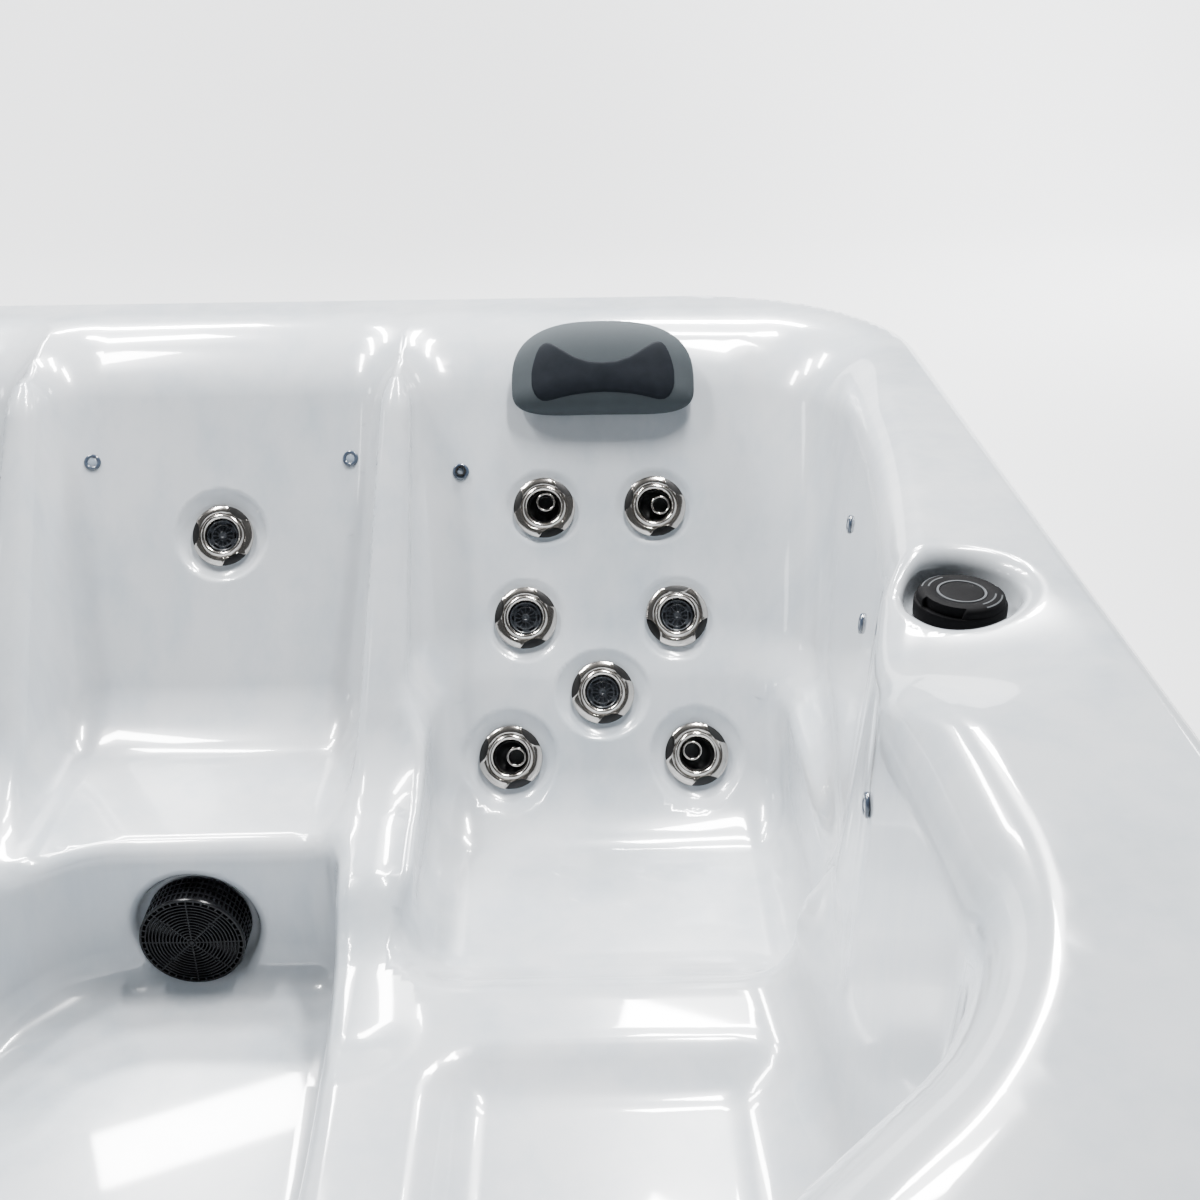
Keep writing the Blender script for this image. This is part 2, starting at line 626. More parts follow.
def jet_face(turn, sides=132):
    a = angles(sides)
    off = off_spoke(a, 3, turn)
    inside = np.abs(bite_at * np.sin(off)) < bite_r
    hit = bite_at * np.cos(off) - np.sqrt(np.maximum(bite_r ** 2 - (bite_at * np.sin(off)) ** 2, 0))
    edge = np.where(inside & (hit < face_r), hit, face_r)
    swing = 0.8 * (1 - np.cos(3 * off)) / 2
    inner_r, outer_r, foot = 23.6, 33.2, 5.0
    rows = [row_of(inner_r, a, foot)]
    steps = [(r + swing * min(max((r - 29) / 3, 0), 1), True)
             for r in (inner_r, 24.0, 24.5, 25.2, 26.2, 27.2, 28.2, 29.2, 30.1, 30.8, 31.4, 31.9, 32.5, outer_r)]
    steps += [(outer_r + swing + (edge - (outer_r + swing)) * t, False)
              for t in (0.12, 0.28, 0.45, 0.62, 0.78, 0.9, 0.96, 1.0)]
    for r, in_ring in steps:
        flat = r - swing * (np.clip((r - 29) / 3, 0, 1) if in_ring else np.clip((40 - r) / 7, 0, 1))
        height = np.interp(flat, *zip(*face_line))
        gap = np.hypot(r * np.cos(off) - bite_at, r * np.sin(off)) - bite_r
        rows.append(row_of(r, a, height + 0.7 * np.exp(-(gap / 1.6) ** 2)))
    rows.append(row_of(edge, a, foot))
    return rings_to_mesh(rows, True)


carrier_line = [(23.5, -15.3), (25.35, -15.3), (25.35, 4.9), (43.8, 4.9), (44.2, 5.4), (44.0, 6.2), (43.6, 6.5),
                (30.0, 6.5), (23.9, 6.5), (23.5, 6.0)]


# %% The nozzle in a jet: a tube off the middle of a bowl, or a slotted insert
bowl_line = [(0, -12.0), (22.6, -12.0), (22.9, -11.6), (22.9, 7.9), (22.4, 8.3), (21.9, 7.6), (21.4, 4.0),
             (20.2, -0.5), (17.8, -4.6), (13.5, -7.4), (7, -8.8), (0, -9.2)]
tube_line = [(0, -8.9), (13.4, -8.9), (13.4, 8.7), (12.9, 9.1), (11.6, 9.1), (11.1, 8.7), (10.7, -1.5), (9.5, -2.6),
             (0, -3.0)]
nozzle_lip = [(10.9, 8.3), (11.0, 9.2), (11.6, 9.7), (12.4, 9.8), (13.1, 9.6), (13.6, 9.0), (13.6, 8.0), (13.4, 7.4),
              (11.2, 7.4)]


def insert_top(sides=144):
    a = angles(sides)
    rows = turned([(0, -12.0), (22.7, -12.0)], sides)
    in_slot = np.clip((math.radians(15) - np.abs(off_spoke(a, 6))) / math.radians(2), 0, 1)
    vane = np.clip((math.radians(7) - np.abs(off_spoke(a, 12))) / math.radians(3.5), 0, 1)
    line = ((22.9, 6.4), (22.6, 7.3), (21.6, 7.6), (20.9, 7.2), (20.5, 6.2), (20.2, 5.8), (19.8, 5.7), (19.6, 5.7),
            (16.9, 5.7), (16.7, 5.7), (16.3, 5.9), (15.6, 6.2), (15.0, 5.6), (14.7, 3.2), (14.2, 2.6), (10, 2.4),
            (7.0, 2.4), (6.2, 2.8), (5.8, 4.8), (5.2, 5.6), (4.2, 5.9), (2.6, 5.7), (1.8, 5.1), (0, 5.0))
    for r, z in line:
        height = z + 0 * a
        if 16.8 < r < 19.7:
            height = height - 5.0 * in_slot
        if 6.1 < r < 14.8:
            height = height + (5.4 - z) * vane
        rows.append(row_of(r, a, height))
    return rings_to_mesh(rows)


# %% Fit the eight turning jets
nozzle_turn = (70, 5, None, None, None, 0, 140, None)
bite_turn = (45, 45, 45, 90, 45, 45, 45, 55)
tube_off_middle = 8
for i, (place, across, slope, out) in enumerate(jets):
    where = (place - out * dish_depth, across, slope, out)
    jet, face_body, nozzle_body = f"jet_{i + 1}_", f"jet_{i + 1}_face", f"jet_{i + 1}_nozzle"
    fitted(jet + "nickel_face", jet_face(bite_turn[i]), where, 38, face_body, nickel, [jet + "bezel"])
    fitted(jet + "carrier", lathe(carrier_line, 72, True), where, 38, face_body, black)
    if nozzle_turn[i] is None:
        fitted(jet + "slotted_insert", insert_top(), where, 30, nozzle_body, smoke, [jet + "rotor"])
        continue
    t = math.radians(nozzle_turn[i])
    dx, dy = tube_off_middle * math.cos(t), tube_off_middle * math.sin(t)
    bowl = joined(lathe(bowl_line, 72), shifted(lathe(tube_line, 48), dx, dy))
    fitted(jet + "bowl_and_tube", bowl, where, 38, nozzle_body, black, [jet + "rotor"])
    lip = shifted(lathe(nozzle_lip, 48, True), dx, dy)
    fitted(jet + "nozzle_ring", lip, where, 50, nozzle_body, nickel)
print("jets fitted:", len(jets))

# %% [markdown]
# The left corner seat has seven small cluster jets. Each is a nickel dish with a short barrel, and inside it
# sits a dark insert with six dips round its middle.

# %% Cluster jets
dish_line = [(12.3, 3.2), (13.2, 2.6), (15.5, 2.9), (17.6, 4.1), (19.3, 5.9), (20.2, 6.8), (21.0, 6.9), (21.8, 6.3),
             (22.0, 5.0), (21.9, 2.2), (9.8, 2.2), (9.8, -11.8), (8.2, -11.8), (8.2, 1.4), (11.6, 1.6), (12.1, 2.0)]
seed_line = [(0, -11.6), (8.1, -11.6), (8.1, 0.6), (7.6, 1.2), (5.6, 0.9), (5.3, 0.2), (4.7, -0.2), (3.4, 0.0),
             (2.6, 0.8), (0, 1.0)]
dish_parts, seed_parts = [], []
wave = np.clip(np.cos(6 * angles(48)), 0, 1)
for where in cluster:
    points, faces = lathe(dish_line, 64, True)
    dish_parts.append((placed(points, *where), faces))
    rows = turned(seed_line, 48)
    for row in rows[3:6]:
        row[:, 2] -= 1.6 * wave
    points, faces = rings_to_mesh(rows)
    seed_parts.append((placed(points, *where), faces))
dishes = tidy(mesh_object("cluster_dishes", *joined(*dish_parts)), sharp=40)
dress(dishes, "tub", nickel, ["cluster_jet_faces"])
seeds = tidy(mesh_object("cluster_inserts", *joined(*seed_parts)), sharp=30)
dress(seeds, "tub", smoke)
print("cluster jets", len(cluster))

# %% [markdown]
# The suction cover is a glossy black dome that catches the light. Thirteen round ribs and four hoops are
# turned. The eight spokes that cross the ribs, the forty teeth between them and the sixty bars round the side
# repeat on a circle, so Geometry Nodes set those out: one small form, copied round a ring of points and turned
# to face outwards. The screws further down are copied by the same tree, but on places of their own.

# %% Copies with Geometry Nodes
def copying_tree(name, sockets, axis, material):
    """A node tree that copies a form on to points, turns each copy's axis and paints it."""
    tree = bpy.data.node_groups.new(name, "GeometryNodeTree")
    tree.interface.new_socket("Geometry", in_out="OUTPUT", socket_type="NodeSocketGeometry")
    keys = {label: tree.interface.new_socket(label, in_out="INPUT", socket_type="NodeSocket" + kind).identifier
            for label, kind in sockets}
    add = tree.nodes.new
    inputs, output = add("NodeGroupInput"), add("NodeGroupOutput")
    points, info = add("GeometryNodeMeshToPoints"), add("GeometryNodeObjectInfo")
    align, copies = add("FunctionNodeAlignRotationToVector"), add("GeometryNodeInstanceOnPoints")
    real, paint = add("GeometryNodeRealizeInstances"), add("GeometryNodeSetMaterial")
    align.axis = axis
    paint.inputs["Material"].default_value = material
    for giver, label, taker, socket in (
            (inputs, "Form", info, "Object"), (info, "Geometry", copies, "Instance"),
            (points, "Points", copies, "Points"), (align, "Rotation", copies, "Rotation"),
            (copies, "Instances", real, "Geometry"), (real, "Geometry", paint, "Geometry"),
            (paint, "Geometry", output, "Geometry")):
        tree.links.new(giver.outputs[label], taker.inputs[socket])
    return tree, keys, inputs, points, align, copies


def grown(piece, tree, keys, values):
    """The piece as a plain mesh, after the tree has worked on it with its named inputs set."""
    modifier = piece.modifiers.new("copies", "NODES")
    modifier.node_group = tree
    for label, value in values.items():
        modifier[keys[label]] = value
    return plain_mesh(piece)


def ring_of_copies(name, form, count, radius, material):
    """A plain mesh of the form copied count times round Z at a radius, its X to the outside."""
    tree, keys, inputs, points, align, _ = copying_tree(
        name, (("Form", "Object"), ("Count", "Int"), ("Radius", "Float")), "X", material)
    circle, place = tree.nodes.new("GeometryNodeMeshCircle"), tree.nodes.new("GeometryNodeInputPosition")
    circle.fill_type = "NONE"
    link = tree.links.new
    link(inputs.outputs["Count"], circle.inputs["Vertices"])
    link(inputs.outputs["Radius"], circle.inputs["Radius"])
    link(circle.outputs["Mesh"], points.inputs["Mesh"])
    link(place.outputs["Position"], align.inputs["Vector"])
    return grown(mesh_object(name, [], []), tree, keys, {"Form": form, "Count": count, "Radius": radius})


def copies_at(name, form, places, facing, material):
    """A plain mesh of the form, copied to each place with its Z turned to that place's own direction."""
    spots = mesh_object(name, places, [])
    way = spots.data.attributes.new("way", "FLOAT_VECTOR", "POINT")
    way.data.foreach_set("vector", np.array(facing, float).ravel())
    tree, keys, inputs, points, align, copies = copying_tree(
        name, (("Places", "Geometry"), ("Form", "Object"), ("Size", "Float")), "Z", material)
    named, link = tree.nodes.new("GeometryNodeInputNamedAttribute"), tree.links.new
    named.data_type = "FLOAT_VECTOR"
    named.inputs["Name"].default_value = "way"
    link(inputs.outputs["Places"], points.inputs["Mesh"])
    link(inputs.outputs["Size"], copies.inputs["Scale"])
    link(named.outputs["Attribute"], align.inputs["Vector"])
    return grown(spots, tree, keys, {"Form": form, "Size": 1.0})


def box_form(name, low, high, edge=0.0):
    """A small box with eased edges, in millimetres turned into metres."""
    form = bmesh.new()
    bmesh.ops.create_cube(form, size=1.0)
    for vert in form.verts:
        vert.co = [((a + b) / 2 + c * (b - a)) * 0.001 for a, b, c in zip(low, high, vert.co)]
    if edge:
        bmesh.ops.bevel(form, geom=form.edges, offset=edge * 0.001, segments=2, profile=0.5, affect="EDGES")
    mesh = bpy.data.meshes.new(name)
    form.to_mesh(mesh)
    form.free()
    mesh.polygons.foreach_set("use_smooth", [True] * len(mesh.polygons))
    made = bpy.data.objects.new(name, mesh)
    bpy.context.scene.collection.objects.link(made)
    return made


def taken(form):
    """The points and faces of a scratch object, which is then removed."""
    part = (np.array([tuple(v.co) for v in form.data.vertices]), [tuple(p.vertices) for p in form.data.polygons])
    mesh = form.data
    bpy.data.objects.remove(form)
    bpy.data.meshes.remove(mesh)
    return part


# %% Suction cover
gloss_black = plain("gloss_black", (0.0025, 0.0025, 0.003), (0.005, 0.005, 0.006), 0.22, 50.0, spread=0.05, shine=0.2)


def face_height(r):
    return 53.0 + 1.7 * (1 - (np.asarray(r) / 66) ** 2)


drum_line = [(60.0, 5.0), (65.2, 5.0), (65.2, 48.6), (67.6, 48.6), (68.0, 49.0), (68.0, 52.4), (67.6, 53.0),
             (66.8, 53.2), (65.0, 53.2), (64.6, 52.8), (64.5, 47.0), (0, 47.4), (0, 44.0), (60.0, 44.0), (60.0, 5.0)]
rib_count, first_rib_r, rib_step, rib_foot, hoop_heights = 13, 6.0, 4.5, 47.2, (6.0, 16.0, 26.0, 36.0)
parts = [lathe(drum_line, 120)]
for k in range(rib_count):
    r = first_rib_r + rib_step * k
    top = float(face_height(r))
    rib_line = [(r - 1.2, rib_foot), (r - 1.2, top - 0.6), (r - 0.6, top), (r + 0.6, top), (r + 1.2, top - 0.6),
                (r + 1.2, rib_foot)]
    parts.append(lathe(rib_line, 96, True))
for low in hoop_heights:
    hoop = [(64.8, low), (67.7, low), (68.0, low + 0.3), (68.0, low + 2.5), (67.7, low + 2.8), (64.8, low + 2.8)]
    parts.append(lathe(hoop, 120, True))
hub = [(0, rib_foot), (3.4, rib_foot), (3.4, 54.4), (2.9, 54.9), (0, 55.0)]
parts.append(lathe(hub, 24))
spoke = box_form("spoke", (-30.5, -1.1, rib_foot), (30.5, 1.1, 54.2), 0.5)
spokes = ring_of_copies("suction_spokes", spoke, 8, 0.0345, gloss_black)
for vert in spokes.data.vertices:
    vert.co.z += 0.001 * (float(face_height(1000 * math.hypot(vert.co.x, vert.co.y))) - 54.3) * (vert.co.z > 0.05)
tooth = box_form("tooth", (-1.9, -1.15, rib_foot), (1.9, 1.15, 52.9))
teeth = ring_of_copies("suction_teeth", tooth, 40, 0.0629, gloss_black)
bar = box_form("bar", (-1.5, -1.25, 6.0), (1.4, 1.25, 50.0))
bars = ring_of_copies("suction_bars", bar, 60, 0.0663, gloss_black)
parts += [(p * 1000, f) for p, f in (taken(spokes), taken(teeth), taken(bars))]
taken(spoke), taken(tooth), taken(bar)
where = (Vector(suction_place), Vector((1, 0, 0)), Vector((0, 0, 1)), Vector((0, -1, 0)))
cover = fitted("suction_cover_dome", joined(*parts), where, 42, "tub", gloss_black, ["suction_cover"])
print("suction cover faces", len(cover.data.polygons))

# %% [markdown]
# The headrests are moulded foam with a skin, curved like a slice of melon: a superellipse that swells in the
# middle. The dark bow-tie panel is set into the crown. The form is a rule, so each ring of it is worked out,
# from the flat back up over the crown, and the panel follows the same crown. The pegs are in the CAD part only.

# %% Headrest form
pillow_half_w, pillow_widest, pillow_top, pillow_low = 132.5, -17.0, 76.0, -66.5
pillow_base, pillow_rise, drawn_in = 10.0, 34.0, 2.4
top_power, low_power = 0.755, 0.50
bow_half_w, bow_proud, bow_foot = 103.3, 1.3, 23.0


def pillow_outline(a, grow=1.0):
    """A point on the headrest's edge: an arched top, and a flatter lower side drawn in a little at the middle."""
    c, s = np.cos(a), np.sin(a)
    full = np.where(s > 0, top_power, low_power)
    reach = np.where(s > 0, pillow_top - pillow_widest, pillow_widest - pillow_low)
    x = pillow_half_w * np.sign(c) * np.abs(c) ** full
    y = pillow_widest + reach * np.sign(s) * np.abs(s) ** full
    y = y + np.where(s < 0, drawn_in * np.abs(s) ** full * np.cos(0.5 * np.pi * x / pillow_half_w) ** 2, 0)
    return x * grow, y * grow


def crown_height(x, inset):
    return pillow_base + pillow_rise * np.sqrt(np.maximum(1 - inset ** 2.6, 0)) * (1 - 0.1 * (x / pillow_half_w) ** 2)


def headrest(sides=160, rings=30):
    a, rows = angles(sides), []
    for grow, z in ((0.0, 0.5), (0.5, 0.5), (0.9, 0.5), (0.955, 0.6), (0.98, 2.0), (0.993, 5.0), (0.999, 8.0)):
        x, y = pillow_outline(a, grow)
        rows.append(np.stack([x, y, z + 0 * a], 1))
    for k in range(rings + 1):
        inset = math.cos(0.5 * math.pi * k / rings) ** 0.72 if k < rings else 0.0
        x, y = pillow_outline(a, inset)
        rows.append(np.stack([x, y, crown_height(x, inset)], 1))
    return rings_to_mesh(rows)


def inset_of(x, y):
    """How far out a point lies: 0 at the headrest's middle and 1 on its edge."""
    low, high = np.zeros(np.shape(x)), np.full(np.shape(x), 1.2)
    for _ in range(24):
        grow = (low + high) / 2
        px, py = x / grow, y / grow
        up = py > pillow_widest
        power = np.where(up, 1 / top_power, 1 / low_power)
        reach = np.where(up, pillow_top - pillow_widest, pillow_widest - pillow_low)
        lifted = np.where(up, 0, drawn_in * np.cos(0.5 * np.pi * np.clip(px / pillow_half_w, -1, 1)) ** 2)
        share = np.abs((py - pillow_widest - lifted) / reach)
        inside = np.abs(px / pillow_half_w) ** (2 * power) + share ** (2 * power) <= 1
        high, low = np.where(inside, grow, high), np.where(inside, low, grow)
    return (low + high) / 2


# %% The dark panel in the headrest
bow_top = ((0, 3.0), (20, 4.6), (40, 12.0), (52, 19.6), (62, 26.6), (70, 32.4), (76, 35.8), (81, 37.0), (86, 35.6),
           (91, 30.6), (95, 22.5), (98.6, 12.0), (101.4, 0.5), (103, -10.0), (103.3, -18.0))
bow_low = ((0, -40.4), (20, -41.2), (43, -43.6), (60, -46.6), (73, -49.4), (81, -50.6), (88, -49.8), (94, -46.2),
           (98.4, -40.5), (101.4, -33.0), (102.8, -26.0), (103.3, -18.0))


def bow_tie(columns=110, rows_of=12):
    """The inset panel: a sheet just proud of the crown, with an edge that rolls down into the foam."""
    u = np.linspace(-1, 1, columns)
    x = bow_half_w * np.sin(0.5 * np.pi * u)
    top, low = np.interp(np.abs(x), *zip(*bow_top)), np.interp(np.abs(x), *zip(*bow_low))
    down = ((0.0, -6.0), (0.0, -1.2), (0.5, 0.1), (1.4, 0.8), (2.8, 1.15), (5.0, bow_proud))
    rows = []
    for share in np.concatenate([np.arange(6), 6 + np.arange(1, rows_of), 6 + rows_of + np.arange(6)]):
        if share < 6:
            inward, up_by = down[int(share)]
            y = low + np.minimum(inward, (top - low) / 2)
        elif share >= 6 + rows_of:
            inward, up_by = down[5 - int(share - 6 - rows_of)]
            y = top - np.minimum(inward, (top - low) / 2)
        else:
            t = (share - 6) / rows_of
            y, up_by = low + 5 + (top - low - 10) * t, bow_proud
            y = np.clip(y, np.minimum(low + 5, (low + top) / 2), np.maximum(top - 5, (low + top) / 2))
        fall = np.interp(bow_half_w - np.abs(x), (0, 0.02, 0.5, 1.4, 2.8, 5.0), [rise for _, rise in down])
        z = crown_height(x, inset_of(x, y)) + np.minimum(up_by, fall)
        rows.append(np.stack([x, y, z], 1))
    n, points = len(rows), np.concatenate(rows)
    faces = grid_faces(n, columns)
    border = ([k for k in range(columns)] + [r * columns + columns - 1 for r in range(1, n)]
              + [(n - 1) * columns + k for k in range(columns - 2, -1, -1)]
              + [r * columns for r in range(n - 2, 0, -1)])
    under = points[border].copy()
    under[:, 2] = bow_foot
    base = len(points)
    points = np.concatenate([points, under, [[0, -18.0, bow_foot]]])
    m = len(border)
    faces += [(border[k], border[(k + 1) % m], base + (k + 1) % m, base + k) for k in range(m)]
    faces += [(base + k, base + (k + 1) % m, base + m) for k in range(m)]
    return points, faces


# %% Headrest skins
foam = plain("headrest_skin", (0.046, 0.054, 0.059), (0.051, 0.059, 0.064), 0.7, 35.0, grain=(700, 0.12, 0.0003),
             shine=0.08)
panel_skin = plain("headrest_panel", (0.008, 0.010, 0.013), (0.011, 0.013, 0.017), 0.6, 60.0,
                   grain=(800, 0.12, 0.0003), shine=0.06)
headrest_across, headrest_up = 0.558, 0.1982
where = back_frame(corner_back, corner_lean, headrest_across, headrest_up)
for mirror, name in ((np.array([1, 1, 1]), "headrest_right"), (np.array([-1, 1, 1]), "headrest_left")):
    pillow = name.replace("headrest", "pillow")
    points, faces = headrest()
    rest = tidy(mesh_object(name, placed(points, *where) * mirror, faces), 2e-5, sharp=60)
    dress(rest, name, foam, [pillow])
    points, faces = bow_tie()
    bow = tidy(mesh_object(name + "_panel", placed(points, *where) * mirror, faces), 2e-5, sharp=45)
    dress(bow, name, panel_skin, [pillow + "_insert"])
print("headrests made")

# %% [markdown]
# The rim has two valve knobs: the water selector on the right and the air valve on the left. Each is a dark
# cap with a raised step, a pale ring let into its top, and two finger steps cut out of its edge. Heights are
# in millimetres above the floor here.

# %% Knobs
knob_black = plain("knob_black", (0.004, 0.004, 0.0045), (0.005, 0.005, 0.0055), 0.6, 60.0,
                   grain=(700, 0.08, 0.0003), shine=0.03)
ring_grey = plain("ring_grey", (0.06, 0.064, 0.068), (0.085, 0.09, 0.095), 0.55, 60.0, shine=0.05)
ledge_height = 874.6
inlay_line = [(21.0, 883.3), (23.3, 883.3), (23.3, 884.5), (23.1, 884.75), (21.2, 884.75), (21.0, 884.5)]
knob_line = [(0, 858.8), (42, 858.8), (43.2, 859.6), (43.5, 861), (43.5, 872.8), (43.3, 874.6), (42.7, 875.4),
             (41.7, 875.8), (41.2, 876.3), (41.0, 877.2), (40.8, 880.0), (40.3, 881.6), (39.2, 882.8), (37.9, 883.6),
             (37.1, 884.0), (36.6, 884.2), (36.0, 884.4), (33.5, 884.8), (30.5, 885.0), (27.5, 884.7), (23.9, 884.3),
             (23.4, 883.7), (20.9, 883.7), (20.4, 884.2), (19, 884.4), (12, 884.6), (0, 884.7)]


def knob(steps, sides=144):
    """The cap, with its edge brought down to a ledge where the finger steps are."""
    a, rows = angles(sides), []
    for r, z in knob_line:
        height = z + 0 * a
        for turn in (48, 228) if steps and z > 875.5 else ():
            off = np.abs(off_spoke(a, 1, turn))
            cut = np.clip((math.radians(33) - off) / math.radians(3), 0, 1) * min(max((r - 36.3) / 0.6, 0), 1)
            height = height - np.maximum(height - ledge_height, 0) * cut
        rows.append(row_of(r, a, height))
    return rings_to_mesh(rows)


def arc(r_low, r_high, start, end, steps=24):
    """A raised line along part of a circle on top of the knob."""
    rows = []
    for k in range(steps + 1):
        t = math.radians(start + (end - start) * k / steps)
        for r, up_by in ((r_low, -0.4), (r_low, 0.22), (r_high, 0.22), (r_high, -0.4)):
            z = np.interp(r, *zip(*knob_line[:3:-1]))
            rows.append((r * math.cos(t), r * math.sin(t), z + up_by))
    faces = [(4 * k + i, 4 * k + (i + 1) % 4, 4 * k + 4 + (i + 1) % 4, 4 * k + 4 + i)
             for k in range(steps) for i in range(4)]
    return np.array(rows), faces + [(3, 2, 1, 0), (4 * steps, 4 * steps + 1, 4 * steps + 2, 4 * steps + 3)]


for sx, node, body, steps in ((1, "diverter_knob", "diverter", True), (-1, "air_knob", "air_control", False)):
    where = (Vector((sx * knob_place[0], knob_place[1], 0)), Vector((1, 0, 0)), Vector((0, 1, 0)), Vector((0, 0, 1)))
    fitted(node + "_cap", knob(steps), where, 40, body, knob_black, [node])
    marks = [arc(*radii, *turns) for turns in ((-66, -14), (112, 160)) for radii in ((30.2, 31.6), (36.2, 37.5))]
    inlay = joined(lathe(inlay_line, 96, True), *marks)
    fitted(node + "_ring", inlay, where, 40, body, ring_grey)
print("knobs made")

# %% [markdown]
# Small lights glow round the footwell and the seats when it is dark. Each is a smoky blue ring with a clear
# middle. The CAD part knows where they sit and which way they face, so each lens is fitted on its own solid.

# %% Lenses on the CAD part's lights
def solids_of(node):
    """The points of each separate solid of a CAD node, always in the same order."""
    mesh = bmesh.new()
    mesh.from_mesh(nodes[node].data)
    bmesh.ops.remove_doubles(mesh, verts=mesh.verts, dist=1e-6)
    left, found = set(mesh.verts), []
    for start in mesh.verts:
        if start not in left:
            continue
        left.discard(start)
        solid = [start]
        for vert in solid:
            for other in (edge.other_vert(vert) for edge in vert.link_edges):
                if other in left:
                    left.discard(other)
                    solid.append(other)
        found.append(np.array([tuple(v.co) for v in solid]))
    mesh.free()
    return found


lens_ring = plain("smoke_lens_ring", (0.030, 0.042, 0.065), (0.055, 0.072, 0.100), 0.16, 90.0, coat=0.8)
lens_clear = plain("clear_lens", (0.20, 0.24, 0.29), (0.30, 0.34, 0.40), 0.10, 90.0, coat=1.0)
lens_ring_line = [(6.2, 0.4), (12.0, 0.4), (12.0, 1.5), (11.6, 2.6), (10.6, 3.5), (9.2, 3.9), (7.8, 3.6), (6.9, 2.9),
                  (6.2, 2.2)]
lens_middle_line = [(0, 0.6), (6.3, 0.6), (6.3, 2.3), (5.2, 2.9), (3.6, 3.3), (1.8, 3.5), (0, 3.6)]
ring_parts, middle_parts = [], []
for points in solids_of("light_lenses"):
    middle = points.mean(0)
    spread = np.linalg.svd(points - middle, full_matrices=False)[2]
    sizes = [np.ptp((points - middle) @ axis) for axis in spread]
    axis = spread[int(np.argmin(sizes))] if max(sizes) / min(sizes) > 1.5 else spread[2]
    along = (points - middle) @ axis
    wide = np.linalg.norm((points - middle) - np.outer(along, axis), axis=1)
    if along[wide > 0.011].mean() < along[wide < 0.0055].mean():
        axis = -axis
    foot = points[wide > 0.011].mean(0)
    line_of = foot + np.outer(np.arange(-0.03, 0.05, 0.0005), axis)
    foot = pull(line_of[np.argmax(shell_field(*line_of.T) > 0)][None])[0]
    out = Vector(normals_of(foot[None])[0])
    across = Vector((0, 0, 1)).cross(out).normalized()
    where = (Vector(foot), across, out.cross(across), out)
    for line, parts in ((lens_ring_line, ring_parts), (lens_middle_line, middle_parts)):
        points_of, faces = lathe(line, 48, line is lens_ring_line)
        parts.append((placed(points_of, *where), faces))
lens_rings = tidy(mesh_object("light_rings", *joined(*ring_parts)), sharp=50)
dress(lens_rings, "tub", lens_ring, ["light_lenses"])
lens_middles = tidy(mesh_object("light_middles", *joined(*middle_parts)), sharp=50)
dress(lens_middles, "tub", lens_clear)
print("lights", len(ring_parts))

# %% [markdown]
# Under the rim the tub is a box of composite boards with grooves, screwed at their ends to a timber frame.
# The boards, the frame, the pipes and the pump keep their CAD shapes and get finishes of their own.

# %% Finishes of the cabinet and the works
def boards(name, low, high, rough, axis):
    """Composite board: a fine grain drawn out along the board and a soft cloudiness."""
    material, tree_nodes, links, shader = new_material(name)
    drawn_out = {"x": (0.12, 1, 3.2), "z": (1, 1, 0.12)}[axis]
    grain = noise(tree_nodes, links, 22.0, 8.0, drawn_out, 0.7)
    links.new(ramp(tree_nodes, links, grain, [(0.32, low), (0.68, high)]), shader.inputs["Base Color"])
    links.new(ramp(tree_nodes, links, grain, [(0.3, (rough - 0.08,) * 3), (0.7, (rough + 0.08,) * 3)]),
              shader.inputs["Roughness"])
    bump(tree_nodes, links, grain, 0.25, 0.0012, shader)
    return material


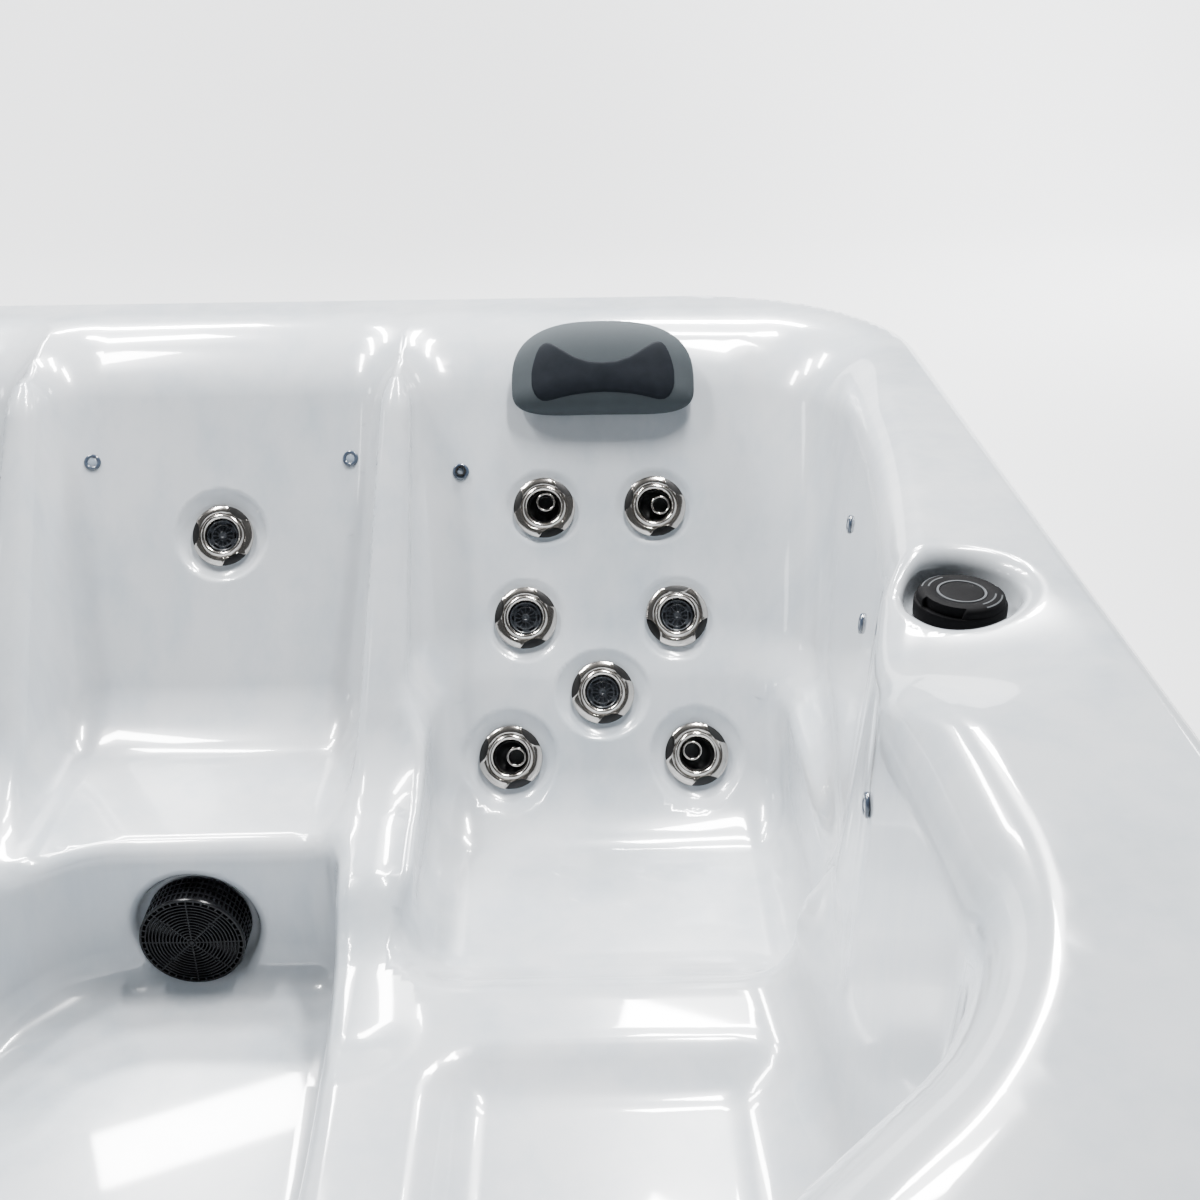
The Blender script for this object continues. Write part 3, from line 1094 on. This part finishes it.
board_skin = boards("cabinet_board", (0.040, 0.042, 0.046), (0.078, 0.080, 0.084), 0.62, "x")
timber_skin = boards("frame_timber", (0.42, 0.29, 0.16), (0.60, 0.44, 0.27), 0.6, "z")
screw_skin = plain("screw_metal", (0.36, 0.33, 0.29), (0.48, 0.44, 0.39), 0.28, 120.0, metal=1.0)
finishes = {
    "cabinet_back cabinet_left cabinet_right cabinet_front access_panel": board_skin,
    "cabinet_frame": timber_skin,
    "light_housings drain_cap cable_gland": black,
    "corner_covers": plain("corner_cover_skin", (0.012, 0.012, 0.013), (0.020, 0.020, 0.022), 0.4, 30.0,
                           grain=(500, 0.15, 0.0006)),
    "jet_bodies jet_nuts suction_body rim_valve_bodies filter_housing pump_impeller water_pipes air_manifold "
    "drain_valve": plain("white_pvc", (0.66, 0.66, 0.63), (0.74, 0.74, 0.72), 0.32, 25.0, grain=(300, 0.05, 0.0005)),
    "water_hoses air_hoses": plain("clear_hose", (0.50, 0.55, 0.58), (0.62, 0.66, 0.69), 0.25, 40.0, coat=0.5),
    "heater_tube": plain("brushed_steel", (0.50, 0.50, 0.49), (0.62, 0.62, 0.61), 0.3, 30.0, metal=1.0,
                         stretch=(1, 1, 8)),
    "pump_body pump_motor": plain("motor_paint", (0.020, 0.022, 0.025), (0.034, 0.036, 0.040), 0.45, 40.0,
                                  grain=(400, 0.2, 0.0008)),
    "control_box": plain("control_box_skin", (0.050, 0.053, 0.060), (0.075, 0.078, 0.085), 0.42, 40.0,
                         grain=(500, 0.15, 0.0006)),
    "jet_gaskets": plain("rubber", (0.012, 0.012, 0.012), (0.022, 0.022, 0.022), 0.7, 60.0, grain=(700, 0.2, 0.0005)),
    "filter_cartridge": plain("filter_pleats", (0.60, 0.66, 0.74), (0.74, 0.79, 0.86), 0.85, 60.0,
                              grain=(350, 0.3, 0.001)),
    "base_pan": plain("base_pan_skin", (0.020, 0.020, 0.021), (0.034, 0.034, 0.036), 0.55, 12.0,
                      grain=(250, 0.25, 0.001)),
    "filter_lid": plain("filter_lid_skin", (0.16, 0.17, 0.18), (0.20, 0.21, 0.22), 0.36, 30.0,
                        grain=(500, 0.1, 0.0005)),
    "keypad_panel": plain("keypad_skin", (0.010, 0.011, 0.012), (0.018, 0.019, 0.021), 0.18, 50.0, coat=0.8),
    "keypad_button_1 keypad_button_2 keypad_button_3": plain(
        "key_skin", (0.075, 0.080, 0.085), (0.110, 0.115, 0.120), 0.4, 60.0, grain=(700, 0.1, 0.0004)),
}
finishes = {node: finish for group, finish in finishes.items() for node in group.split()}
for node, finish in finishes.items():
    if not nodes[node].hide_render:
        nodes[node].data.materials.clear()
        nodes[node].data.materials.append(finish)
undressed = [k for k in nodes if k not in finishes and not nodes[k].hide_render]
print("finishes", len(finishes), "and left for later:", undressed)


# %% [markdown]
# The boards are held by round-headed screws with a cross recess. One head is turned, its cross pressed in,
# and Geometry Nodes set a copy on each place, facing the way the board faces there.

# %% Screw heads
def screw_head(r, high, sides=32):
    """A low dome with a cross pressed into it; the foot is at Z 0."""
    a, rows = angles(sides), []
    arm = np.abs(off_spoke(a, 4))
    for share, z in ((1, 0), (1, 0.35), (0.94, 0.62), (0.8, 0.85), (0.62, 0.96), (0.56, 0.98), (0.46, 1.0),
                     (0.3, 1.0), (0.16, 1.0), (0, 1.0)):
        pressed = 0.6 * (arm * share * r < 0.16 * r) if share < 0.6 else 0.0
        rows.append(row_of(share * r, a, (z - pressed) * high))
    return rings_to_mesh(rows)


cover_face = suction_place[1] - 0.0528
panel_places, panel_facing, cover_places = [], [], []
for points in solids_of("screws"):
    middle = (points.min(0) + points.max(0)) / 2
    if abs(middle[0]) < 0.2 and abs(middle[1]) < 0.4:
        cover_places.append((middle[0], cover_face, middle[2]))
        continue
    facing = [0.0, 0.0, 0.0]
    thin = int(np.argmin(np.ptp(points, axis=0)))
    facing[thin] = 1.0 if middle[thin] > 0 else -1.0
    foot = middle.copy()
    foot[thin] = points[:, thin].min() if facing[thin] > 0 else points[:, thin].max()
    panel_places.append(foot)
    panel_facing.append(facing)
for name, places, facing, size, finish, slot, stands in (
        ("panel_screws", panel_places, panel_facing, (4.5, 2.4), screw_skin, "screw", ["screws"]),
        ("cover_screws", cover_places, [(0, -1, 0)] * len(cover_places), (4.0, 1.9), gloss_black, "suction", [])):
    points, faces = screw_head(*size)
    head = mesh_object(name + "_head", points * 0.001, faces)
    heads = copies_at(name, head, places, facing, finish)
    taken(head)
    dress(tidy(heads, 1e-6, sharp=40), "tub", finish, stands)
    print(name, len(places))

# %% [markdown]
# The studio: a pale floor with a wide curve up to a pale wall. Six skylights in three rows leave long,
# window-like reflections on the acrylic, three low windows fill in the sides, and two lamps light the wall.

# %% Stage
def stage_material():
    material, tree_nodes, links, shader = new_material("studio_paper")
    drift = noise(tree_nodes, links, 0.6, 2.0)
    links.new(ramp(tree_nodes, links, drift, [(0.3, (0.84, 0.845, 0.855)), (0.7, (0.86, 0.865, 0.875))]),
              shader.inputs["Base Color"])
    shader.inputs["Roughness"].default_value = 0.8
    return material


side, rise, bend, bend_starts, bend_steps = 9.0, 2.6, 2.4, 5.4, 16
floor_rows = [(-side + k * side * 0.75, 0.0) for k in range(3)]
for k in range(bend_steps + 1):
    a = 0.5 * math.pi * k / bend_steps
    floor_rows.append((bend_starts + bend * math.sin(a), bend * (1 - math.cos(a))))
floor_rows.append((bend_starts + bend, rise))
points = [(x, y, z) for y, z in floor_rows for x in (-side, -side / 3, side / 3, side)]
floor = mesh_object("studio_floor", points, grid_faces(len(floor_rows), 4))
floor.data.materials.append(stage_material())


# %% Lights
def area_light(name, place, target, size, power, colour=(1, 1, 1)):
    data = bpy.data.lights.new(name, "AREA")
    data.shape, data.size, data.size_y = "RECTANGLE", size[0], size[1]
    data.energy, data.color = power, colour
    lamp = bpy.data.objects.new(name, data)
    bpy.context.scene.collection.objects.link(lamp)
    lamp.location = place
    lamp.rotation_euler = (Vector(target) - Vector(place)).to_track_quat("-Z", "Y").to_euler()


cool, seat_middle, window_aim = (0.97, 0.985, 1.0), (0, 0.35, 0.4), (0.2, 0.5, 0.5)
for row in range(3):
    for side_name, x, power in (("left", -1.0, 96), ("right", 1.0, 122)):
        area_light(f"skylight_{side_name}_{row}", (x, 0.85 + 0.95 * row, 3.2), seat_middle, (0.8, 0.2), power)
area_light("window_left", (-3.0, 0.9, 2.4), window_aim, (0.35, 0.4), 5, cool)
area_light("window_left_low", (-2.9, -0.5, 2.5), window_aim, (0.25, 0.4), 3, cool)
area_light("window_right", (2.7, 2.2, 2.4), (0.4, 0.5, 0.5), (0.4, 0.3), 9)
area_light("backdrop_left", (-3.0, 4.2, 3.2), (-1.5, 7.8, 1.2), (2.4, 2.4), 420)
area_light("backdrop_right", (3.4, 4.0, 3.0), (2.6, 7.0, 0.6), (2.4, 2.4), 620)
world = bpy.context.scene.world or bpy.data.worlds.new("studio")
bpy.context.scene.world = world
world.use_nodes = True
sky = world.node_tree.nodes["Background"]
sky.inputs["Color"].default_value = (0.86, 0.89, 0.93, 1)
sky.inputs["Strength"].default_value = 0.12
print("lights set")
